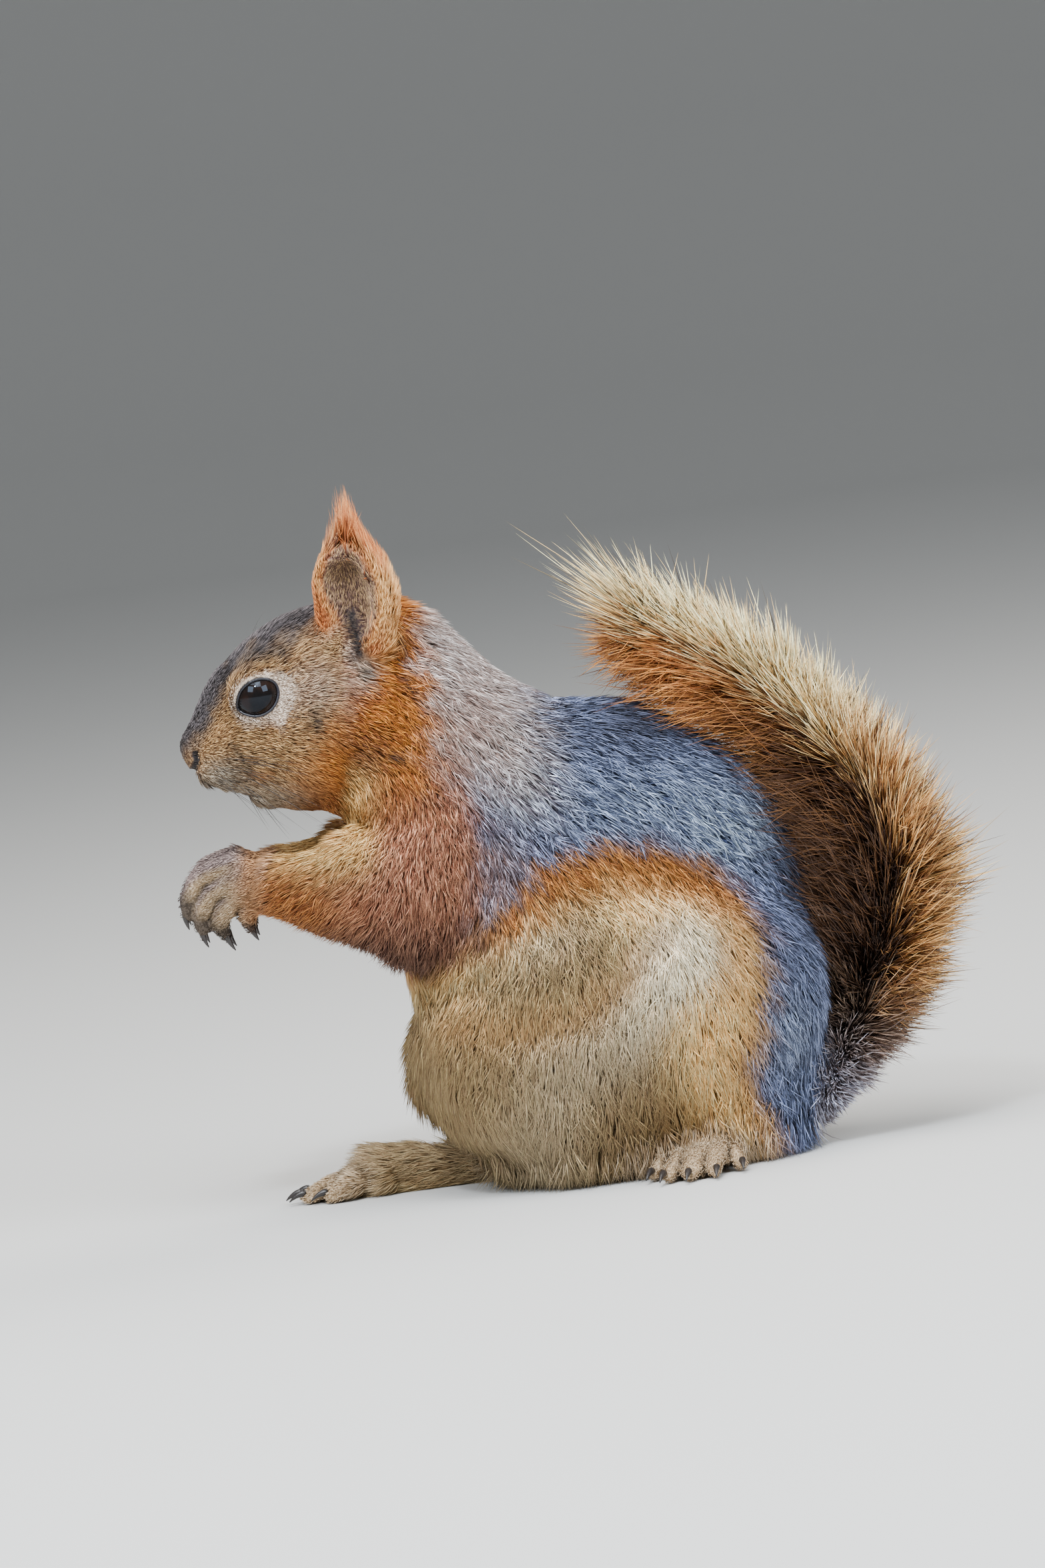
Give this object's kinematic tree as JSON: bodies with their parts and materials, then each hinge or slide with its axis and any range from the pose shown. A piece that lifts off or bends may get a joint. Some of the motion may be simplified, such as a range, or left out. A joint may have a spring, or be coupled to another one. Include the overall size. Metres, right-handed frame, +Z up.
{
  "type": "caucasian squirrel",
  "caption": "Life-size still model of a tufted-ear Caucasian squirrel, sitting up on its haunches with its hands held forward and its bushy tail curved over its back.",
  "frame": {"origin": "on the floor, in the middle of the model's box seen from above", "axes": "+Z up, -X the way the squirrel looks, -Y out of its left side"},
  "size_m": [0.1998, 0.0777, 0.181],
  "materials": {
    "coat_grey": "dense grizzled fur",
    "coat_orange": "short orange fur",
    "coat_rufous": "short rufous fur",
    "coat_buff": "long soft buff fur",
    "coat_ochre": "very short grizzled fur",
    "coat_cream": "very short pale fur",
    "coat_tail": "long loose fur with pale tips",
    "paw": "matt skin with thin short hair",
    "nose": "matt bare skin",
    "eye": "wet black gloss"
  },
  "bodies": {
    "root": {"head": "coat_ochre", "muzzle": "coat_ochre", "lower_jaw": "coat_cream", "nose": "nose", "eye_left": "eye", "eye_right": "eye", "ear_left": "coat_orange", "ear_right": "coat_orange", "neck": "coat_orange", "chest": "coat_grey", "belly": "coat_buff", "rump": "coat_grey", "upper_arm_left": "coat_rufous", "upper_arm_right": "coat_rufous", "forearm_left": "coat_rufous", "forearm_right": "coat_rufous", "hand_left": "paw", "hand_right": "paw", "thigh_left": "coat_buff", "thigh_right": "coat_buff", "foot_left": "paw", "foot_right": "paw", "tail_1": "coat_tail", "tail_2": "coat_tail", "tail_3": "coat_tail", "tail_4": "coat_tail", "tail_5": "coat_tail"}
  },
  "joints": []
}
